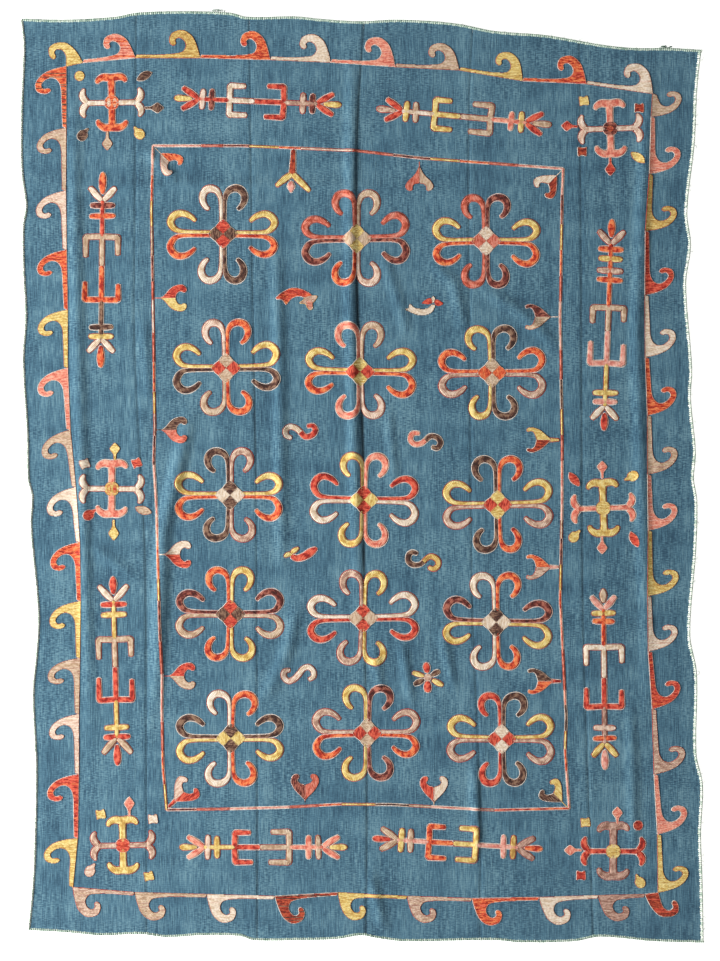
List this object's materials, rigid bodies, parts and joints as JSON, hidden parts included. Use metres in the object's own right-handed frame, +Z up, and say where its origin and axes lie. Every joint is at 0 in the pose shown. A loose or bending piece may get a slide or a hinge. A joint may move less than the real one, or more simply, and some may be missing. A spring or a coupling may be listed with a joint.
{
  "type": "suzani kilim rug",
  "caption": "Flat woven wool rug of narrow strips sewn side by side, with raised hand embroidery and a thick overcast edge, lying flat with shallow folds.",
  "frame": {"origin": "under the middle of the rug's outline, on the surface it lies on", "axes": "+Y along the woven strips towards the end that is uppermost in the picture, +X to the right across the strips, +Z up"},
  "size_m": [1.8442, 2.5139, 0.0095],
  "materials": {
    "blue_wool": "matt flat-woven wool, steel blue with fine lengthwise streaks",
    "edge_yarn": "matt thick wool yarn, pale mint with dark green flecks",
    "embroidery_yarn": "matt wool yarn in chain stitch, in cream, yellow, red, salmon, taupe and brown"
  },
  "bodies": {
    "root": {"strip_1": "blue_wool", "strip_2": "blue_wool", "strip_3": "blue_wool", "strip_4": "blue_wool", "strip_5": "blue_wool", "strip_6": "blue_wool", "edge_left": "edge_yarn", "edge_right": "edge_yarn", "edge_top": "edge_yarn", "edge_bottom": "edge_yarn"}
  },
  "joints": []
}
